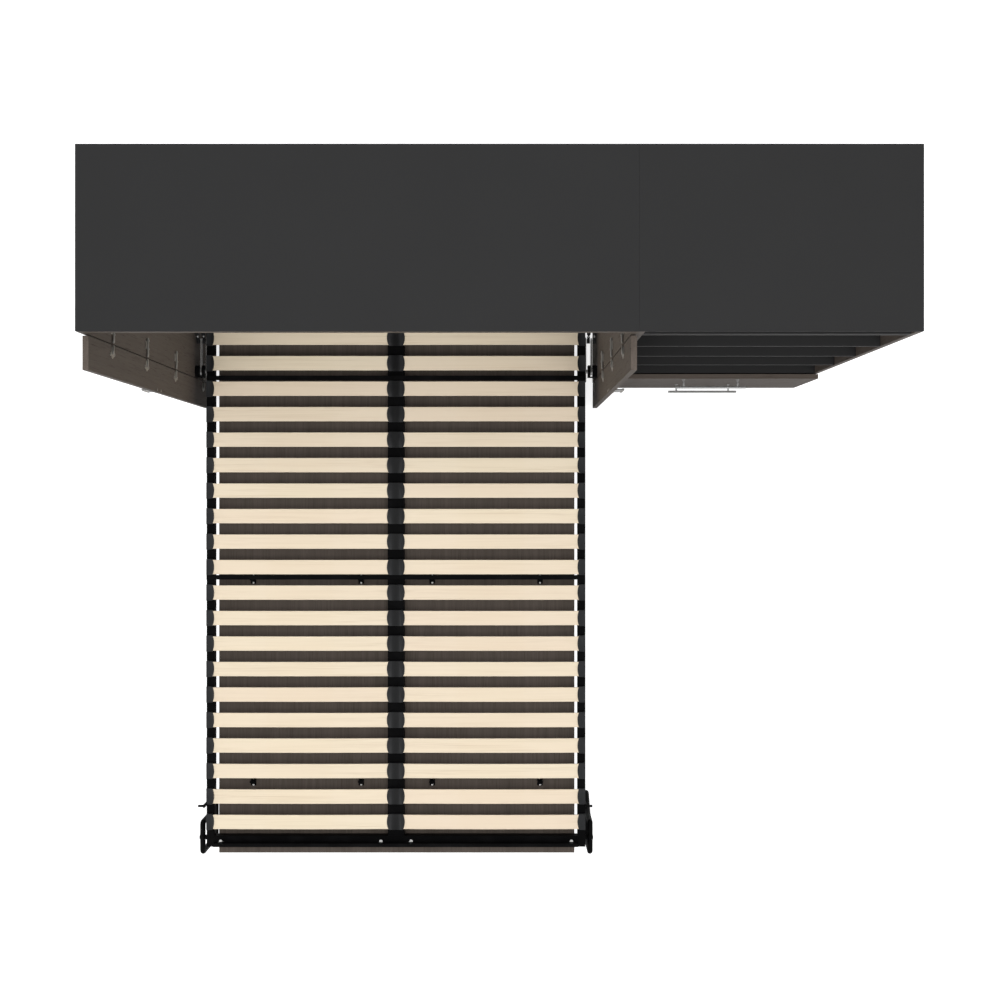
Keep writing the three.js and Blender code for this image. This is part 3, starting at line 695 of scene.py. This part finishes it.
for side in ("left", "right"):
    for place in ("inner", "outer"):
        low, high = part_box(f"{side}_{place}_strut_barrel")
        centre_x = (low[0] + high[0]) / 2
        top = Vector((centre_x, upper_eye.y, upper_eye.z))
        shoulder, mouth = top + strut_lean * 0.016, top + strut_lean * barrel_length
        barrel = round_edges(start_bar("barrel", shoulder, mouth, barrel_radius, 40), 0.0012, 3)
        neck = start_bar("neck", top + strut_lean * 0.004, top + strut_lean * 0.022, neck_radius, 32)
        neck = round_edges(neck, 0.0006)
        eye = round_edges(start_bar("eye", top - half_eye, top + half_eye, upper_eye_radius, 40), 0.0012, 3)
        whole = joined_as([barrel, neck, eye], f"{side}_{place}_gas_cylinder")
        fitted(whole, gloss_black, f"{side}_strut_barrels")
        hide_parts(f"{side}_{place}_strut_barrel")
        end = top + strut_lean * strut_length
        inner_end = end - strut_lean * (strut_length - barrel_length + rod_inside)
        shank = round_edges(start_bar("rod", end - strut_lean * 0.020, inner_end, rod_radius, 32), 0.0005)
        fitted(shank, chrome, f"{side}_strut_rods")
        shank.name = shank.data.name = f"{side}_{place}_gas_rod"
        stem = start_bar("stem", end - strut_lean * 0.004, end - strut_lean * 0.024, stem_radius, 32)
        stem = round_edges(stem, 0.001)
        eye = round_edges(start_bar("eye", end - half_eye, end + half_eye, lower_eye_radius, 40), 0.0012, 3)
        whole = joined_as([stem, eye], f"{side}_{place}_rod_eye")
        fitted(whole, moulded, f"{side}_strut_rods")
        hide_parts(f"{side}_{place}_strut_rod")


# ======== Folding legs ========
# Closed hoops of bent round tube, black coated, one at each foot corner, hung on a shouldered
# pin with a washer. The rear bar bends back below the knee to a heel on the floor.
leg_tube, leg_pivot = 0.010, (-1.058625, 0.322)
top_half, heel, knee_height = 0.054, 0.123, 0.160
tight_turn, knee_turn, heel_turn, turn_steps = 0.014, 0.040, 0.028, 8
for side, sign in (("left", -1), ("right", 1)):
    low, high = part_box(f"{side}_leg")
    x = (low[0] + high[0]) / 2
    y0, z0 = leg_pivot
    corners = [
        (Vector((x, y0 - top_half, z0)), tight_turn),
        (Vector((x, y0 + top_half, z0)), tight_turn),
        (Vector((x, y0 + top_half, knee_height)), knee_turn),
        (Vector((x, y0 + heel, leg_tube)), heel_turn),
        (Vector((x, y0 - top_half, leg_tube)), tight_turn),
    ]
    outline = []
    for i, (point, turn) in enumerate(corners):
        before = point + (corners[i - 1][0] - point).normalized() * turn
        after = point + (corners[(i + 1) % len(corners)][0] - point).normalized() * turn
        for step in range(turn_steps + 1):
            t = step / turn_steps
            outline.append((1 - t) ** 2 * before + 2 * t * (1 - t) * point + t * t * after)
    line = bpy.data.curves.new(f"{side}_hoop", "CURVE")
    line.dimensions = "3D"
    spline = line.splines.new("POLY")
    spline.points.add(len(outline) - 1)
    for place, point in zip(spline.points, outline):
        place.co = (*point, 1)
    spline.use_cyclic_u = True
    line.bevel_depth, line.bevel_resolution = leg_tube, 6
    line.use_fill_caps = False
    hoop = bpy.data.objects.new(f"{side}_leg_hoop", line)
    bpy.context.collection.objects.link(hoop)
    bpy.ops.object.select_all(action="DESELECT")
    hoop.select_set(True)
    bpy.context.view_layer.objects.active = hoop
    bpy.ops.object.convert(target="MESH")
    hoop = bpy.context.object
    bpy.ops.object.mode_set(mode="EDIT")
    bpy.ops.mesh.select_all(action="SELECT")
    bpy.ops.mesh.remove_doubles(threshold=0.00001)
    bpy.ops.mesh.normals_make_consistent(inside=False)
    bpy.ops.object.mode_set(mode="OBJECT")
    bpy.ops.object.shade_smooth_by_angle(angle=math.radians(40))
    fitted(hoop, black_coat, f"{side}_leg")
    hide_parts(f"{side}_leg")
    outer_face = x + sign * leg_tube
    washer = start_bar("washer", (outer_face, y0, z0), (outer_face + sign * 0.0012, y0, z0), 0.0085, 32)
    fitted(round_edges(washer, 0.0004), nickel, "bed").name = f"{side}_leg_washer"


# ======== Floor, light and camera ========
# A pale matte floor under even, soft studio light from above, seen from straight overhead.
bpy.ops.object.select_all(action="DESELECT")
bpy.ops.mesh.primitive_plane_add(size=60, location=(0, 0, 0))
floor = bpy.context.object
floor.name = floor.data.name = "studio_floor"
pale = bpy.data.materials.new("pale_floor")
pale.use_nodes = True
surface = pale.node_tree.nodes["Principled BSDF"].inputs
surface["Base Color"].default_value = (0.6, 0.6, 0.6, 1)
surface["Roughness"].default_value = 0.9
surface["Emission Color"].default_value = (1, 1, 1, 1)
seen = add_node(pale.node_tree, "ShaderNodeLightPath").outputs["Is Camera Ray"]
glow = add_node(pale.node_tree, "ShaderNodeMath", {0: seen, 1: 0.75}, operation="MULTIPLY")
pale.node_tree.links.new(glow.outputs[0], surface["Emission Strength"])
floor.data.materials.append(pale)

world = bpy.data.worlds.new("studio")
bpy.context.scene.world = world
world.use_nodes = True
sky = world.node_tree
direction = add_node(sky, "ShaderNodeTexCoord").outputs["Generated"]
up = add_node(sky, "ShaderNodeSeparateXYZ", {0: direction}).outputs["Z"]
level = add_node(sky, "ShaderNodeMapRange", {
    0: up, 1: 0.70, 2: 0.90, 3: 0.78, 4: 0.22,
}, interpolation_type="SMOOTHSTEP")
sky.nodes["Background"].inputs["Color"].default_value = (1, 1, 1, 1)
sky.links.new(level.outputs[0], sky.nodes["Background"].inputs["Strength"])


def soft_light(name, place, aim, size, power, mirrored=True):
    light = bpy.data.lights.new(name, "AREA")
    light.shape, light.size, light.energy = "SQUARE", size, power
    lamp = bpy.data.objects.new(name, light)
    bpy.context.collection.objects.link(lamp)
    lamp.location = place
    lamp.visible_glossy = mirrored
    lamp.rotation_euler = (Vector(aim) - Vector(place)).to_track_quat("-Z", "Y").to_euler()


soft_light("left_softbox", (-7.0, -4.5, 6.0), (0, 0, 0.4), 5.0, 90)
soft_light("right_softbox", (7.0, -5.5, 5.0), (0, 0, 0.6), 4.0, 60)
soft_light("overhead_bank", (0, -0.6, 8.5), (0, -0.6, 0), 6.0, 560, mirrored=False)

lens = bpy.data.cameras.new("overhead_camera")
lens.sensor_width, lens.lens = 36, 66.3
lens.clip_end = 200
camera = bpy.data.objects.new("overhead_camera", lens)
bpy.context.collection.objects.link(camera)
camera.location = (0.017466, 0.1757, 7.068)
camera.rotation_euler = (0, 0, 0)
bpy.context.scene.camera = camera
bpy.context.scene.view_settings.view_transform = "Standard"
